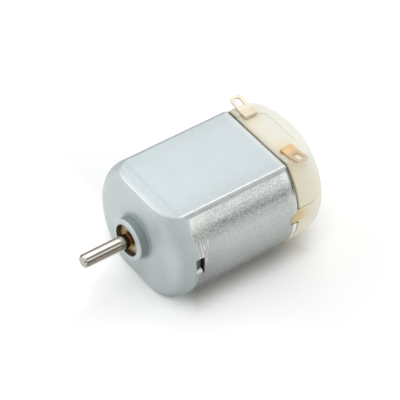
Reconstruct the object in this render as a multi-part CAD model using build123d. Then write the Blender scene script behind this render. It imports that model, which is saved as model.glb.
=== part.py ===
from build123d import *

import os
from math import asin, atan2, cos, degrees, radians, sin, sqrt

# A small brushed dc motor: a drawn steel can with two flats, two arc magnets, a three-pole rotor
# and a moulded end cap with two solder terminals.
#
# Sizes are millimetres. The shaft lies along X and its free end points to +X. The origin is on the
# shaft's axis, at the can's front face. The flats of the can face +Z and -Z, and its round sides
# face +Y (the near side) and -Y (the far side).

# Fits and running gaps
running_clearance = 0.03  # radial, shaft in its bushes
seat_gap = 0.02  # between pieces that are pressed, glued or clamped together
brush_gap = 0.05  # brush to commutator
end_play = 0.1  # thrust washer to bush
air_gap = 0.35  # rotor to magnets
flat_gap = 0.25  # rotor to the flats of the can

# Can
can_radius = 10.05
can_flats = 15.1  # across the flats
can_wall = 0.5
can_length = 20.0
can_corner = 2.9  # front corner of the round sides
can_edge = 0.6  # rounding along the flats
rim_rounding = 0.3

# Boss drawn out of the can's front
boss_radius = 3.075
boss_length = 1.7
boss_wall = 0.75
boss_root = 0.25
boss_lip = 0.4

# Magnet stops, pressed in from the round sides
stop_start = 2.65  # behind the front face
stop_width = 1.4
stop_height = 2.9
stop_centre = 0.4  # above the shaft's axis
stop_rounding = 0.2
tongue_slit = 0.2  # on each side of the tongue
tongue_sink = 0.6  # below the can's surface
tongue_ramp = 0.6  # height over which the tongue is pressed in
tongue_bend = 0.35  # radius at the middle of the sheet
tongue_tip_gap = 0.15

# Notches in the rim of the round sides, by height above the shaft's axis
notch_depth = 1.3
notch_mouth_top = 1.75
notch_floor_top = 0.65
notch_foot = -0.4
notch_rounding = 0.25
notch_corner = 0.65  # rounding of the rim below the notch

# End cap
plug_depth = 2.6  # inside the can
cap_length = 6.0  # behind the can's rim
rim_gap = 0.2  # open line between the rim and the cap's shoulder
cap_wall = 1.5
cap_floor = 2.0  # rear wall
cap_corner = 3.5  # rear corner of the round sides
cap_edge = 0.6  # rounding along the flats
cap_inset = 0.2  # round sides of the cap within the can's
lug_gap = 0.12  # lug of the cap to the rim notch that it fills
lug_rounding = 0.12
lug_setback = 0.5  # of the lug's rear end, in front of the cap's rear face
pocket_depth = 0.15  # shallow pocket in the upper flat, between the terminals
pocket_length = 4.0
pocket_width = 9.8
pocket_bevel = 1.8  # cut across the pocket's two rear corners
rear_boss_radius = 3.4
rear_boss_height = 0.9
rear_boss_edge = 0.3
rear_boss_lip = 0.6  # wall behind the rear bush
rear_hole_radius = 1.5
window_width = 1.3
window_height = 3.4
window_spread = 9.6  # between the centres of the two windows
window_rounding = 0.3

# Shaft
shaft_radius = 1.0
shaft_reach = 8.9  # free end in front of the can's front face
shaft_chamfer = 0.25
shaft_tail = 0.35  # rear end inside the face of the rear boss
oil_groove_width = 0.6  # round the shaft, from the boss's end towards the front bush
oil_groove_depth = 0.08

# Bushes and thrust washers
front_bush_length = 2.4
front_bush_recess = 0.55
bush_chamfer = 0.2
rear_bush_radius = 2.2
rear_bush_stand = 0.3
washer_radius = 1.8
washer_thickness = 0.3

# Magnets and their clip
magnet_front_gap = 0.2
magnet_rear_gap = 0.4
clip_wire = 0.8
clip_reach = 0.9  # bend of the clip in front of the magnets
clip_bend = 1.5
clip_end = 1.0  # legs stop short of the magnets' rear end

# Rotor
pole_count = 3
lamination_thickness = 0.5
lamination_gap = 0.02
hub_radius = 2.6
pole_width = 2.6
shoe_thickness = 1.1
slot_opening = 2.2
insulator_thickness = 0.4
spacer_radius = 1.9
coil_build = 1.2
coil_overhang = 1.1
coil_gap = 0.1
coil_rounding = 0.5
coil_clearance = 0.4  # coil ends to the clip and to the commutator

# Commutator
commutator_radius = 2.4
commutator_length = 5.0
segment_thickness = 0.4
segment_slot = 0.35
sleeve_lip = 0.2
collar_radius = 3.0
collar_thickness = 0.8
riser_reach = 1.1
riser_width = 1.2
riser_thickness = 0.4
ring_width = 0.8
ring_thickness = 0.45

# Terminals
terminal_thickness = 0.3
terminal_width = 1.9
terminal_setback = 1.05  # behind the can's rim
terminal_inset = 6.05  # leg inside the can's round side
tab_height = 0.2  # above the can's flat
tab_root = 1.2  # level part, from the leg outwards
tab_run = 2.6  # raised part, from the level part to the tip
tab_rise = 0.55
tab_rounding = 0.55
wire_hole_width = 0.95
wire_hole_length = 1.8
wire_hole_margin = 0.4
bend_radius = 0.2
leg_depth = 1.6  # below the ceiling of the cap

# Brushes
brush_thickness = 0.15
brush_width = 1.5
brush_tail = 2.2  # tip below the shaft's axis
brush_spread = 0.25  # tip bent away from the commutator
brush_slit = 0.2
brush_slit_start = 2.6  # above the shaft's axis

# Sections that follow from the sizes above
can_half_flat = can_flats / 2
inner_radius = can_radius - can_wall
inner_half_flat = can_half_flat - can_wall
plug_radius = inner_radius - seat_gap
plug_half_flat = inner_half_flat - seat_gap
ceiling_z = plug_half_flat - cap_wall
bush_radius = boss_radius - boss_wall
bush_bore = shaft_radius + running_clearance
seat_bore = shaft_radius + seat_gap
rotor_radius = inner_half_flat - flat_gap
magnet_inner = rotor_radius + air_gap
magnet_outer = inner_radius - seat_gap
magnet_middle = (magnet_inner + magnet_outer) / 2
magnet_top_angle = degrees(asin((inner_half_flat - seat_gap) / magnet_outer))
clip_angle = degrees((clip_wire / 2 + seat_gap) / magnet_middle)
magnet_low_angle = magnet_top_angle - 2 * clip_angle
sleeve_radius = commutator_radius - segment_thickness
cap_radius = can_radius - cap_inset
stop_low = stop_centre - stop_height / 2
stop_high = stop_centre + stop_height / 2
tongue_width = stop_width - 2 * tongue_slit

# Stations along X
rim_x = -can_length
plug_x = rim_x + plug_depth
shoulder_x = rim_x - rim_gap
rear_x = rim_x - cap_length
floor_x = rear_x + cap_floor
rear_boss_x = rear_x - rear_boss_height
front_bush_x = boss_length - front_bush_recess
front_washer_x = front_bush_x - front_bush_length - end_play
rear_bush_x = floor_x + rear_bush_stand
rear_washer_x = rear_bush_x + end_play + washer_thickness
segment_x = rear_washer_x + sleeve_lip + commutator_length
collar_x = segment_x + collar_thickness
coil_rear_x = collar_x + coil_clearance
stack_rear_x = coil_rear_x + coil_overhang + insulator_thickness
magnet_front_x = -(stop_start + stop_width + magnet_front_gap)
magnet_rear_x = plug_x + magnet_rear_gap
clip_x = magnet_front_x + clip_reach
coil_front_limit = clip_x - clip_wire / 2 - coil_clearance
stack_room = coil_front_limit - coil_overhang - insulator_thickness - stack_rear_x
lamination_pitch = lamination_thickness + lamination_gap
lamination_count = int((stack_room + lamination_gap) / lamination_pitch)
stack_front_x = stack_rear_x + lamination_count * lamination_pitch - lamination_gap
spacer_x = stack_front_x + insulator_thickness
terminal_front_x = rim_x - terminal_setback
terminal_x = terminal_front_x - terminal_width / 2
leg_y = can_radius - terminal_inset
tab_z = can_half_flat + tab_height
tab_bend_y = leg_y + tab_root
tab_slope = atan2(tab_rise, tab_run)

# Room left round a cut, so that it passes right through the wall it opens
through = 1.0

# How near an edge lies to the place that it is picked by
pick_reach = 0.01


def disc(radius, x_rear, x_front):
    """Cylinder on the shaft's axis between two stations."""
    return extrude(Plane.YZ.offset(x_rear) * Circle(radius), amount=x_front - x_rear)


def tube(outer, inner, x_rear, x_front):
    """Tube on the shaft's axis between two stations."""
    return disc(outer, x_rear, x_front) - disc(inner, x_rear, x_front)


def block(x_span, y_span, z_span):
    """Box between two limits along each axis."""
    spans = (x_span, y_span, z_span)
    sizes = [high - low for low, high in spans]
    centre = [(high + low) / 2 for low, high in spans]
    return Pos(*centre) * Box(*sizes)


def flatted(radius, half_flat, x_rear, x_front):
    """Cylinder on the shaft's axis with two flats."""
    slab = block((x_rear, x_front), (-radius, radius), (-half_flat, half_flat))
    return disc(radius, x_rear, x_front) & slab


def rings(solid, x):
    """Circular edges at one station."""
    circles = solid.edges().filter_by(GeomType.CIRCLE)
    return [e for e in circles if abs(e.arc_center.X - x) < pick_reach]


def cup(radius, half_flat, corner, x_open, x_closed):
    """Cylinder with two flats, whose round sides have a rounded corner at the closed end."""
    barrel = disc(radius, x_open, x_closed)
    barrel = fillet(rings(barrel, x_closed), corner)
    x_span = sorted((x_open, x_closed))
    return barrel & block(x_span, (-radius, radius), (-half_flat, half_flat))


def eased(shell, x_open, rounding):
    """The cup with its flats' edges rounded, but for those at the open end."""
    flats = shell.faces().filter_by(Axis.Z)
    edges = [e for f in flats for e in f.edges() if abs(e.center().X - x_open) > pick_reach]
    return fillet(edges, rounding)


def around(piece):
    """The piece together with its mirror image on the other round side."""
    return piece + mirror(piece, about=Plane.XZ)


def sector(outer, inner, low_angle, high_angle, x_rear, x_front):
    """Part of a tube between two angles, counted from +Y towards +Z."""
    reach = 2 * outer
    angles = (low_angle, (low_angle + high_angle) / 2, high_angle)
    corners = [(reach * cos(radians(a)), reach * sin(radians(a))) for a in angles]
    wedge = make_face(Polyline((0, 0), *corners, close=True))
    outline = (Circle(outer) - Circle(inner)) & wedge
    return extrude(Plane.YZ.offset(x_rear) * outline, amount=x_front - x_rear)


def make_can():
    shell = eased(cup(can_radius, can_half_flat, can_corner, rim_x, 0), rim_x, can_edge)
    shell = fillet(shell.faces().sort_by(Axis.X)[0].edges(), rim_rounding)
    shell -= cup(inner_radius, inner_half_flat, can_corner - can_wall, rim_x, -can_wall)
    shell += disc(boss_radius, -can_wall, boss_length)
    root = [e for e in rings(shell, 0) if e.radius < boss_radius + pick_reach]
    shell = fillet(root, boss_root)
    shell = fillet(rings(shell, boss_length), boss_lip)
    shell -= disc(bush_radius, -can_wall - through, boss_length + through)
    shell -= around(stop_window()) + around(rim_notch())
    return shell + around(stop_tongue())


def stop_window():
    """Opening in the near round side, round the tongue of a magnet stop."""
    x_span = (-stop_start - stop_width, -stop_start)
    y_span = (inner_radius - through, can_radius + through)
    window = block(x_span, y_span, (stop_low, stop_high))
    return fillet(window.edges().filter_by(Axis.Y), stop_rounding)


def stop_tongue():
    """Strip of the can's wall that is pressed in from its lower end, so that its edge stops the magnet."""
    half_wall = can_wall / 2
    ramp_low = stop_low + tongue_bend / 2
    ramp_high = ramp_low + tongue_ramp
    tip = stop_high - tongue_tip_gap
    root_y = sqrt(can_radius**2 - stop_low**2) - half_wall
    sunk_y = sqrt(can_radius**2 - ramp_high**2) - half_wall - tongue_sink
    tip_y = sqrt(can_radius**2 - tip**2) - half_wall - tongue_sink
    points = [(root_y, stop_low), (root_y, ramp_low), (sunk_y, ramp_high), (tip_y, tip)]
    strip = trace(FilletPolyline(*points, radius=tongue_bend), can_wall)
    return extrude(Plane.YZ.offset(-stop_start - tongue_slit - tongue_width) * strip, amount=tongue_width)


def notch_outline(x_open):
    """Outline of a rim notch, from its floor back to an open end: level below, slanted above."""
    floor_at = rim_x + notch_depth
    upper = [(x_open, notch_mouth_top), (rim_x, notch_mouth_top), (floor_at, notch_floor_top)]
    return Polyline(*upper, (floor_at, notch_foot), (x_open, notch_foot), close=True)


def on_near_side(outline, y_low, y_high):
    """Solid between two distances from the shaft's axis, from an outline of X and Z."""
    plane = Plane(origin=(0, y_low, 0), x_dir=(1, 0, 0), z_dir=(0, -1, 0))
    return extrude(plane * outline, amount=y_low - y_high)


def rim_notch():
    """Notch in the rim of the near round side, with a rounded rim below it."""
    outline = make_face(notch_outline(rim_x - through))
    outline = fillet(outline.vertices().group_by(Axis.X)[-1], notch_rounding)
    corner_span = (rim_x - through, rim_x + notch_corner)
    rounded = Pos(rim_x + notch_corner, notch_foot - notch_corner) * Circle(notch_corner)
    corner = Pos(sum(corner_span) / 2, notch_foot - notch_corner / 2)
    corner *= Rectangle(corner_span[1] - corner_span[0], notch_corner)
    outline += corner - rounded
    return on_near_side(outline, inner_radius - through, can_radius + through)


def make_front_bush():
    rear = front_bush_x - front_bush_length
    bush = tube(bush_radius - seat_gap, bush_bore, rear, front_bush_x)
    return chamfer(rings(bush, front_bush_x), bush_chamfer)


def make_end_cap():
    """Cap flush with the can, with a plug that fits inside the can's rim."""
    cap = eased(cup(cap_radius, can_half_flat, cap_corner, shoulder_x, rear_x), shoulder_x, cap_edge)
    cap += around(side_lug())
    cap += flatted(plug_radius, plug_half_flat, shoulder_x, plug_x)
    rear_boss = disc(rear_boss_radius, rear_boss_x, rear_x)
    cap += fillet(rings(rear_boss, rear_boss_x), rear_boss_edge)
    cap -= flatted(plug_radius - cap_wall, ceiling_z, floor_x, plug_x)
    cap -= disc(rear_bush_radius + seat_gap, rear_boss_x + rear_boss_lip, floor_x)
    cap -= disc(rear_hole_radius, rear_boss_x, rear_x)
    cap -= top_pocket()
    cap -= around(terminal_slot()) + around(brush_window())
    return cap


def top_pocket():
    """Shallow pocket in the upper flat, open towards the can's rim."""
    middle = shoulder_x - pocket_length / 2
    z_span = (can_half_flat - pocket_depth, can_half_flat + through)
    half_width = pocket_width / 2
    pocket = block((shoulder_x - pocket_length, shoulder_x), (-half_width, half_width), z_span)
    rear_corners = [e for e in pocket.edges().filter_by(Axis.Z) if e.center().X < middle]
    return chamfer(rear_corners, pocket_bevel)


def side_lug():
    """Lug down the near round side, flush with the can, whose nose fills the can's rim notch."""
    outline = offset(make_face(notch_outline(rear_x - through)), -lug_gap, kind=Kind.INTERSECTION)
    lug = on_near_side(outline, plug_radius - cap_wall, can_radius + through)
    lug &= cup(can_radius, can_half_flat, cap_corner, plug_x, rear_x + lug_setback)
    outer_face = lug.faces().sort_by(Axis.Y)[-1]
    return fillet(outer_face.edges().filter_by(Axis.X), lug_rounding)


def terminal_slot():
    """Slot in the cap's flat that the near terminal's leg passes through."""
    half_leg = terminal_thickness / 2 + seat_gap
    half_width = terminal_width / 2 + seat_gap
    x_span = (terminal_x - half_width, terminal_x + half_width)
    y_span = (leg_y - half_leg, leg_y + half_leg)
    return block(x_span, y_span, (ceiling_z - through, can_half_flat + through))


def brush_window():
    """Opening in the rear wall beside the near brush."""
    outline = RectangleRounded(window_width, window_height, window_rounding)
    place = Plane.YZ.offset(rear_x - through) * Pos(window_spread / 2, 0)
    return extrude(place * outline, amount=cap_floor + 2 * through)


def make_rear_bush():
    rear = rear_boss_x + rear_boss_lip
    return tube(rear_bush_radius, bush_bore, rear, rear_bush_x)


def make_magnet():
    """Arc magnet on the near side: its upper edge meets the flat, its lower edge the clip."""
    angles = (-magnet_low_angle, magnet_top_angle)
    return sector(magnet_outer, magnet_inner, *angles, magnet_rear_x, magnet_front_x)


def make_magnet_clip():
    """Wire bent to a U, with a leg along the lower edge of each magnet."""
    angle = radians(magnet_low_angle + clip_angle)
    leg = magnet_middle * cos(angle)
    height = -magnet_middle * sin(angle)
    end_x = magnet_rear_x + clip_end
    route = FilletPolyline(
        (end_x, -leg, height),
        (clip_x, -leg, height),
        (clip_x, leg, height),
        (end_x, leg, height),
        radius=clip_bend,
    )
    section = Plane(origin=(end_x, -leg, height), z_dir=(1, 0, 0)) * Circle(clip_wire / 2)
    return sweep(section, path=route)


def make_shaft():
    shaft = disc(shaft_radius, rear_boss_x + shaft_tail, shaft_reach)
    shaft = chamfer(shaft.edges().filter_by(GeomType.CIRCLE), shaft_chamfer)
    return shaft - oil_groove()


def oil_groove():
    """Ring that cuts a shallow round-bottomed groove where the shaft leaves the boss."""
    half_width = oil_groove_width / 2
    section_radius = (half_width**2 + oil_groove_depth**2) / (2 * oil_groove_depth)
    ring_radius = shaft_radius + section_radius - oil_groove_depth
    return Pos(boss_length - half_width, 0, 0) * Rot(0, 90, 0) * Torus(ring_radius, section_radius)


def pole_outline(tip_radius):
    """Hub and arms of the rotor, out to a radius, with the hole for the shaft."""
    arm = Pos(0, tip_radius / 2) * Rectangle(pole_width, tip_radius)
    outline = Circle(hub_radius)
    for pole in range(pole_count):
        outline += Rot(0, 0, pole * 360 / pole_count) * arm
    return outline - Circle(seat_bore)


def lamination_outline():
    """Arms with the shoes that face the magnets."""
    shoes = Circle(rotor_radius) - Circle(rotor_radius - shoe_thickness)
    opening = Pos(0, rotor_radius) * Rectangle(slot_opening, rotor_radius)
    for pole in range(pole_count):
        shoes -= Rot(0, 0, (pole + 0.5) * 360 / pole_count) * opening
    return pole_outline(rotor_radius - shoe_thickness / 2) + shoes


def make_laminations():
    outline = lamination_outline()
    stations = [stack_rear_x + n * lamination_pitch for n in range(lamination_count)]
    plates = [extrude(Plane.YZ.offset(x) * outline, amount=lamination_thickness) for x in stations]
    return Compound(children=plates)


def make_insulator(x_rear):
    outline = pole_outline(rotor_radius - shoe_thickness)
    return extrude(Plane.YZ.offset(x_rear) * outline, amount=insulator_thickness)


def make_coil(pole):
    """Winding round one arm of the rotor, as one closed ring."""
    half_inside = pole_width / 2 + coil_gap
    half_outside = half_inside + coil_build
    rear = stack_rear_x - insulator_thickness
    front = spacer_x
    low = hub_radius + coil_gap
    high = sqrt((rotor_radius - shoe_thickness - coil_gap) ** 2 - half_outside**2)
    x_span = (rear - coil_overhang, front + coil_overhang)
    ring = block(x_span, (-half_outside, half_outside), (low, high))
    ring = fillet(ring.edges().filter_by(Axis.Z), coil_rounding)
    ring -= block((rear - coil_gap, front + coil_gap), (-half_inside, half_inside), (low, high))
    return Rot(pole * 360 / pole_count, 0, 0) * ring


def make_sleeve():
    """Insulating tube and collar that carry the commutator segments."""
    sleeve = disc(sleeve_radius, rear_washer_x, stack_rear_x - insulator_thickness)
    sleeve += disc(collar_radius, segment_x, collar_x)
    return sleeve - disc(seat_bore, rear_washer_x, stack_rear_x)


def make_segment(number):
    """Copper segment with the riser that its coil is joined to."""
    pitch = 360 / pole_count
    half_angle = pitch / 2 - degrees(segment_slot / 2 / commutator_radius)
    rear = segment_x - commutator_length
    angles = (90 - half_angle, 90 + half_angle)
    strip = sector(commutator_radius, sleeve_radius + seat_gap, *angles, rear, segment_x)
    riser_top = commutator_radius + riser_reach
    riser_low = commutator_radius - segment_thickness / 2
    x_span = (segment_x - riser_thickness, segment_x)
    riser = block(x_span, (-riser_width / 2, riser_width / 2), (riser_low, riser_top))
    return Rot((number + 0.5) * pitch, 0, 0) * (strip + riser)


def make_commutator_ring():
    front = segment_x - riser_thickness - seat_gap
    inner = commutator_radius + seat_gap
    return tube(inner + ring_thickness, inner, front - ring_width, front)


def make_washer(x_rear):
    return tube(washer_radius, seat_bore, x_rear, x_rear + washer_thickness)


def make_spacer():
    return tube(spacer_radius, seat_bore, spacer_x, front_washer_x - washer_thickness)


def make_terminal():
    """Near terminal: a leg through the cap and a tab bent outwards and up, with a wire hole at its tip."""
    half = terminal_thickness / 2
    route = [
        (leg_y, ceiling_z - leg_depth),
        (leg_y, tab_z),
        (tab_bend_y, tab_z),
        (tab_bend_y + tab_run, tab_z + tab_rise),
    ]
    outline = Plane.YZ.offset(terminal_x - terminal_width / 2) * strip_outline(route, terminal_thickness)
    strip = extrude(outline, amount=terminal_width)
    bend = strip.edges().filter_by(Axis.X)
    strip = fillet(bend.sort_by_distance((terminal_x, leg_y - half, tab_z + half))[0], bend_radius)
    tip_edges = strip.faces().sort_by(Axis.Y)[-1].edges().sort_by(SortBy.LENGTH)[:2]
    strip = fillet(tip_edges, tab_rounding)
    return strip - wire_hole()


def wire_hole():
    """Slot through the near terminal's tip, in line with the tab."""
    tip_to_middle = wire_hole_margin + wire_hole_length / 2
    middle_y = tab_bend_y + tab_run - tip_to_middle * cos(tab_slope)
    middle_z = tab_z + tab_rise - tip_to_middle * sin(tab_slope)
    along = (0, cos(tab_slope), sin(tab_slope))
    square_to_tab = (0, -sin(tab_slope), cos(tab_slope))
    place = Plane(origin=(terminal_x, middle_y, middle_z), x_dir=along, z_dir=square_to_tab)
    slot = place * SlotOverall(wire_hole_length, wire_hole_width)
    return extrude(slot, amount=terminal_thickness, both=True)


def strip_outline(points, thickness):
    """Outline of a bent strip of even thickness that follows a line of points."""
    half = thickness / 2
    headings = [atan2(b[1] - a[1], b[0] - a[0]) for a, b in zip(points, points[1:])]
    before = headings[:1] + headings
    after = headings + headings[-1:]
    left, right = [], []
    for (y, z), turn_in, turn_out in zip(points, before, after):
        middle = (turn_in + turn_out) / 2
        reach = half / cos((turn_out - turn_in) / 2)
        left.append((y - reach * sin(middle), z + reach * cos(middle)))
        right.append((y + reach * sin(middle), z - reach * cos(middle)))
    return make_face(Polyline(*left, *reversed(right), close=True))


def make_brush():
    """Near brush: a leaf on the terminal's leg, bent to touch the commutator, slit into two fingers."""
    clamp_y = leg_y - terminal_thickness / 2 - seat_gap - brush_thickness / 2
    touch_y = commutator_radius + brush_gap + brush_thickness / 2
    route = [
        (clamp_y, ceiling_z - seat_gap),
        (clamp_y, ceiling_z - leg_depth),
        (touch_y, 0),
        (touch_y + brush_spread, -brush_tail),
    ]
    outline = Plane.YZ.offset(terminal_x - brush_width / 2) * strip_outline(route, brush_thickness)
    leaf = extrude(outline, amount=brush_width)
    half_slit = brush_slit / 2
    slit_y = (min(clamp_y, touch_y) - through, max(clamp_y, touch_y + brush_spread) + through)
    slit_x = (terminal_x - half_slit, terminal_x + half_slit)
    slit = block(slit_x, slit_y, (-brush_tail - through, brush_slit_start))
    return leaf - slit


def far(piece):
    """The matching piece on the far side."""
    return mirror(piece, about=Plane.XZ)


nodes = {
    "can": make_can(),
    "front_bush": make_front_bush(),
    "end_cap": make_end_cap(),
    "rear_bush": make_rear_bush(),
    "magnet_near": make_magnet(),
    "magnet_far": far(make_magnet()),
    "magnet_clip": make_magnet_clip(),
    "terminal_near": make_terminal(),
    "terminal_far": far(make_terminal()),
    "brush_near": make_brush(),
    "brush_far": far(make_brush()),
    "shaft": make_shaft(),
    "laminations": make_laminations(),
    "insulator_front": make_insulator(stack_front_x),
    "insulator_rear": make_insulator(stack_rear_x - insulator_thickness),
    "commutator_sleeve": make_sleeve(),
    "commutator_ring": make_commutator_ring(),
    "spacer": make_spacer(),
    "thrust_washer_front": make_washer(front_washer_x - washer_thickness),
    "thrust_washer_rear": make_washer(rear_washer_x - washer_thickness),
}
for pole in range(pole_count):
    nodes[f"coil_{pole + 1}"] = make_coil(pole)
    nodes[f"commutator_segment_{pole + 1}"] = make_segment(pole)

os.makedirs("parts", exist_ok=True)
for name, solid in nodes.items():
    export_step(solid, f"parts/{name}.step")
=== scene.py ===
import bpy
from math import atan2, cos, pi, radians, sin
from mathutils import Matrix, Vector
from types import SimpleNamespace


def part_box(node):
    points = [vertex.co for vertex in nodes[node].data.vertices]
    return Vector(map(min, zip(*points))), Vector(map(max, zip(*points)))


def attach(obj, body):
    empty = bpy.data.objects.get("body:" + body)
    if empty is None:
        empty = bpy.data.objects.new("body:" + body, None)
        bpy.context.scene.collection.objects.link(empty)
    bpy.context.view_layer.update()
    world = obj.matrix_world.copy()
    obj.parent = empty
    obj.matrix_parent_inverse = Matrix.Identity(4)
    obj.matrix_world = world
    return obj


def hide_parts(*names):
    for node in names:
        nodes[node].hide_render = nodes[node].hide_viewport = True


# A small brushed dc motor, lying on a flat of its can on a white table.
# Lengths are metres in the CAD frame; mm turns a size in millimetres into metres.
# A pair of limits is where a soft change over a surface starts and where it ends.

mm = 0.001

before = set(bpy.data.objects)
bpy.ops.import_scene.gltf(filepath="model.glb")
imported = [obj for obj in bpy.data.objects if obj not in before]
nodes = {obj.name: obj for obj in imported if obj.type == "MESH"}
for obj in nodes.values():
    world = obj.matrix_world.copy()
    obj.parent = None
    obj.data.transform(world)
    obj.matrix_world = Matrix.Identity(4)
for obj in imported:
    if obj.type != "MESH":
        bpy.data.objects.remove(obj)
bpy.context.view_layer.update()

# Camera, at the photograph's angle
photo_size = 400
sensor_width = 36.0
camera_azimuth = radians(141.183)
camera_elevation = radians(44.476)
camera_roll = radians(3.115)
camera_distance = 326.673 * mm
focal_length_px = 2385.789
aim_point = Vector((-9.0, 0.0, 0.0)) * mm
aim_right = 1.369 * mm
aim_up = 1.232 * mm

# Table, with the limits of its shade close to the motor and of its glow
table_size = 4.0
table_colour = (0.95, 0.95, 0.945)
table_shade = (0.80, 0.79, 0.75)
table_roughness = 0.9
table_gloss = 0.1
table_glow = 0.10
table_glow_beside_front = 0.06
table_glow_below_shaft = 0.18
clear_ahead = (-5.5 * mm, -1.5 * mm)
clear_behind = (-24.0 * mm, -20.5 * mm)
clear_near = (7.0 * mm, 12.0 * mm)
clear_far = (-3.0 * mm, -1.0 * mm)
beside_front_x = (-17.0 * mm, -6.0 * mm)
beside_front_y = (5.0 * mm, 9.0 * mm)
below_shaft_y = (-1.5 * mm, 2.5 * mm)

# Light tent, with limits on the direction's upright part z and its near part y
sky_colour = (0.98, 0.99, 1.0)
sky_strength = 0.60
sky_low_strength = 0.30
sky_near_share = 0.34
horizon_shade = 0.12
gap_shade = 0.26
horizon_z = (0.10, 0.38)
gap_bottom_z = (0.66, 0.74)
gap_top_z = (0.84, 0.92)
gap_near_y = (0.05, 0.25)
soft_z = (0.0, 0.40)
soft_near_y = (-0.1, 0.5)

# Places on the can
can_low, can_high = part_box("can")
can_flat_height = can_high.z
can_round = can_high.y
can_rim = can_low.x
slot_front = -2.65 * mm
slot_rear = -4.05 * mm
slot_edge = 0.06 * mm
front_face_x = (-1.4 * mm, -0.1 * mm)

# Places on the cap, its terminals and its lugs
terminal_low, terminal_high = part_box("terminal_near")
terminal_x = (terminal_low.x + terminal_high.x) / 2
terminal_leg = terminal_low.y
hole_spot_x = terminal_x - 0.70 * mm
hole_spot_reach = 5.95 * mm
lug_height = 0.68 * mm
lug_top = 1.66 * mm
lug_face = (9.0 * mm, 9.6 * mm)

# Place on the shaft
shaft_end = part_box("shaft")[1].x

# Windings, in the room between the rotor's arms
coil_half_inside = 1.4 * mm
coil_corner = 0.35 * mm
coil_corner_points = 4
coil_layers = 5
coil_turns_per_layer = 9
coil_points_per_turn = 64
wire_sides = 6


def shader_group(name, inputs, outputs):
    """New shader node group with float, vector or colour sockets and its two end nodes."""
    group = bpy.data.node_groups.new(name, "ShaderNodeTree")
    for socket_name, kind, default in inputs:
        socket = group.interface.new_socket(socket_name, in_out="INPUT", socket_type=f"NodeSocket{kind}")
        if default is not None:
            socket.default_value = default
    for socket_name, kind in outputs:
        group.interface.new_socket(socket_name, in_out="OUTPUT", socket_type=f"NodeSocket{kind}")
    start = group.nodes.new("NodeGroupInput")
    end = group.nodes.new("NodeGroupOutput")
    return group, start, end


def maths(tree, operation, first, second=None, third=None):
    """Math node whose inputs are sockets or numbers; returns its output."""
    node = tree.nodes.new("ShaderNodeMath")
    node.operation = operation
    for slot, value in enumerate((first, second, third)):
        if value is None:
            continue
        if isinstance(value, (int, float)):
            node.inputs[slot].default_value = value
        else:
            tree.links.new(value, node.inputs[slot])
    return node.outputs[0]


def times(tree, first, *others):
    """Product of sockets and numbers."""
    product = first
    for other in others:
        product = maths(tree, "MULTIPLY", product, other)
    return product


def most(tree, first, *others):
    """Largest of several sockets."""
    largest = first
    for other in others:
        largest = maths(tree, "MAXIMUM", largest, other)
    return largest


def rest_of(tree, weight):
    """What a weight leaves of one."""
    return maths(tree, "SUBTRACT", 1.0, weight)


def apart(tree, value, place):
    """Distance of a value from a place."""
    return maths(tree, "ABSOLUTE", maths(tree, "SUBTRACT", value, place))


def ramp(tree, value, low, high, to_low, to_high):
    """Smooth step of a value between two limits."""
    node = tree.nodes.new("ShaderNodeMapRange")
    node.interpolation_type = "SMOOTHSTEP"
    tree.links.new(value, node.inputs["Value"])
    node.inputs["From Min"].default_value = low
    node.inputs["From Max"].default_value = high
    node.inputs["To Min"].default_value = to_low
    node.inputs["To Max"].default_value = to_high
    return node.outputs["Result"]


def rise(tree, value, low, high, weight=1.0):
    """Weight that grows from nothing at one limit to its whole at the other."""
    return ramp(tree, value, low, high, 0.0, weight)


def fall(tree, value, low, high, weight=1.0):
    """Weight that is whole at one limit and gone at the other."""
    return ramp(tree, value, low, high, weight, 0.0)


def blend(tree, factor, first, second):
    """Mix of two colours, each a socket or a plain colour."""
    node = tree.nodes.new("ShaderNodeMix")
    node.data_type = "RGBA"
    tree.links.new(factor, node.inputs[0])
    for slot, colour in ((6, first), (7, second)):
        if isinstance(colour, tuple):
            node.inputs[slot].default_value = (*colour, 1.0)
        else:
            tree.links.new(colour, node.inputs[slot])
    return node.outputs[2]


def noise(tree, vector, size, detail=2.0, roughness=0.5):
    """Noise whose lumps are about one size across; returns its value."""
    node = tree.nodes.new("ShaderNodeTexNoise")
    tree.links.new(vector, node.inputs["Vector"])
    node.inputs["Scale"].default_value = 1.0 / size
    node.inputs["Detail"].default_value = detail
    node.inputs["Roughness"].default_value = roughness
    return node.outputs[0]


def stretched(tree, vector, stretch):
    """Vector scaled along each axis."""
    node = tree.nodes.new("ShaderNodeMapping")
    tree.links.new(vector, node.inputs["Vector"])
    node.inputs["Scale"].default_value = stretch
    return node.outputs[0]


def split(tree, vector):
    """The three parts of a vector."""
    node = tree.nodes.new("ShaderNodeSeparateXYZ")
    tree.links.new(vector, node.inputs[0])
    return node.outputs


def across(tree, first, second):
    """Distance from an axis, of two lengths square to it."""
    squares = maths(tree, "MULTIPLY_ADD", first, first, maths(tree, "MULTIPLY", second, second))
    return maths(tree, "SQRT", squares)


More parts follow.
